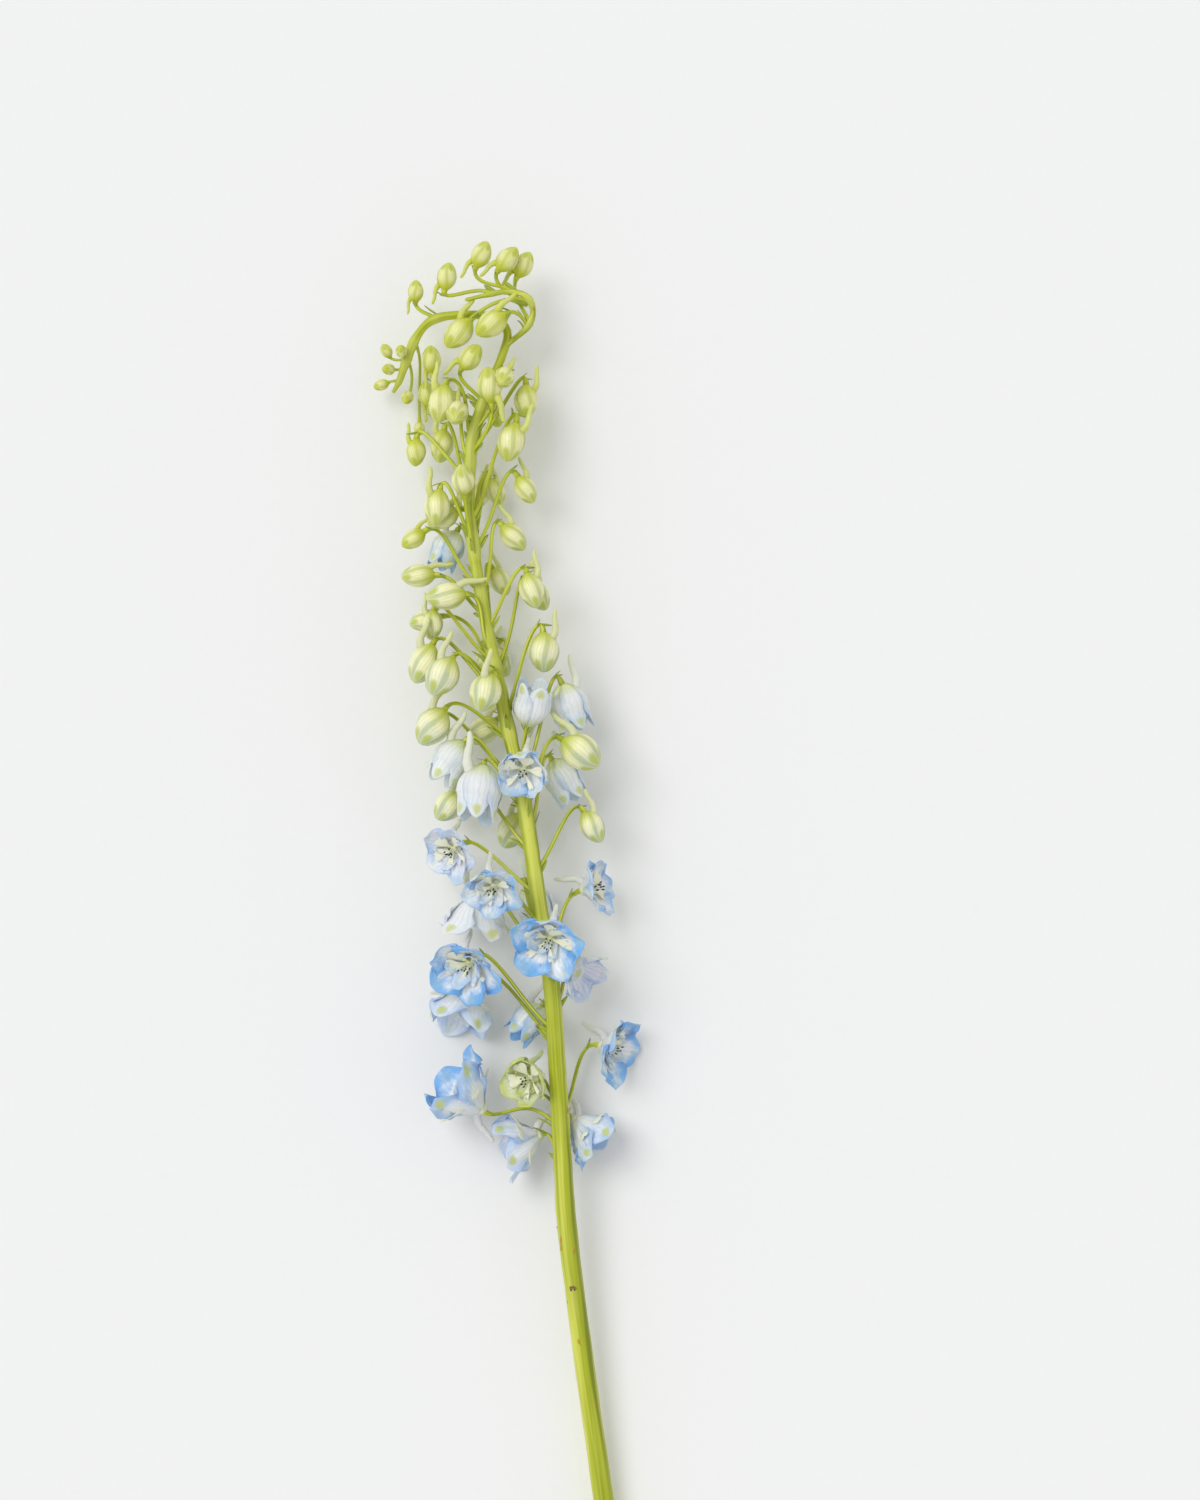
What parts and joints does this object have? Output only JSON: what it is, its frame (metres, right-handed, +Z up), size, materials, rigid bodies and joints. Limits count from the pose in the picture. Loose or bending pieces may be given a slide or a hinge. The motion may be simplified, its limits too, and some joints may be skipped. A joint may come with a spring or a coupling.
{
  "type": "delphinium flower spike",
  "caption": "Cut delphinium spike lying on its back: tall green stem with arching pedicels, pale blue cupped florets, half-open bells and cream buds up to a drooping tip.",
  "frame": {"origin": "middle of the spike's bounding box on the surface that it lies on", "axes": "+Y along the spike from the cut end to the drooping tip, +Z up from the surface, +X to the right as seen from above"},
  "size_m": [0.1143, 0.6223, 0.0619],
  "materials": {
    "stem_green": "satin fresh green plant tissue",
    "sepal_blue": "soft satin petal, pale to sky blue",
    "eye_cream": "soft matte cream petal",
    "bell_pale_blue": "soft satin petal, white to pale blue",
    "bud_cream": "satin cream bud with green veins"
  },
  "bodies": {
    "root": {"stem": "stem_green", "floret_01": "sepal_blue", "floret_02": "sepal_blue", "floret_03": "sepal_blue", "floret_04": "sepal_blue", "floret_05": "sepal_blue", "floret_06": "sepal_blue", "floret_07": "sepal_blue", "floret_08": "sepal_blue", "floret_09": "sepal_blue", "floret_10": "sepal_blue", "floret_11": "sepal_blue", "floret_12": "sepal_blue", "eye_01": "eye_cream", "eye_02": "eye_cream", "eye_03": "eye_cream", "eye_04": "eye_cream", "eye_05": "eye_cream", "eye_06": "eye_cream", "eye_07": "eye_cream", "eye_08": "eye_cream", "eye_09": "eye_cream", "eye_10": "eye_cream", "eye_11": "eye_cream", "eye_12": "eye_cream", "bell_01": "bell_pale_blue", "bell_02": "bell_pale_blue", "bell_03": "bell_pale_blue", "bell_04": "bell_pale_blue", "bell_05": "bell_pale_blue", "bell_06": "bell_pale_blue", "bell_07": "bell_pale_blue", "bell_08": "bell_pale_blue", "bell_09": "bell_pale_blue", "bell_10": "bell_pale_blue", "bud_01": "bud_cream", "bud_02": "bud_cream", "bud_03": "bud_cream", "bud_04": "bud_cream", "bud_05": "bud_cream", "bud_06": "bud_cream", "bud_07": "bud_cream", "bud_08": "bud_cream", "bud_09": "bud_cream", "bud_10": "bud_cream", "bud_11": "bud_cream", "bud_12": "bud_cream", "bud_13": "bud_cream", "bud_14": "bud_cream", "bud_15": "bud_cream", "bud_16": "bud_cream", "bud_17": "bud_cream", "bud_18": "bud_cream", "bud_19": "bud_cream", "bud_20": "bud_cream", "bud_21": "bud_cream", "bud_22": "bud_cream", "bud_23": "bud_cream", "bud_24": "bud_cream", "bud_25": "bud_cream"}
  },
  "joints": []
}
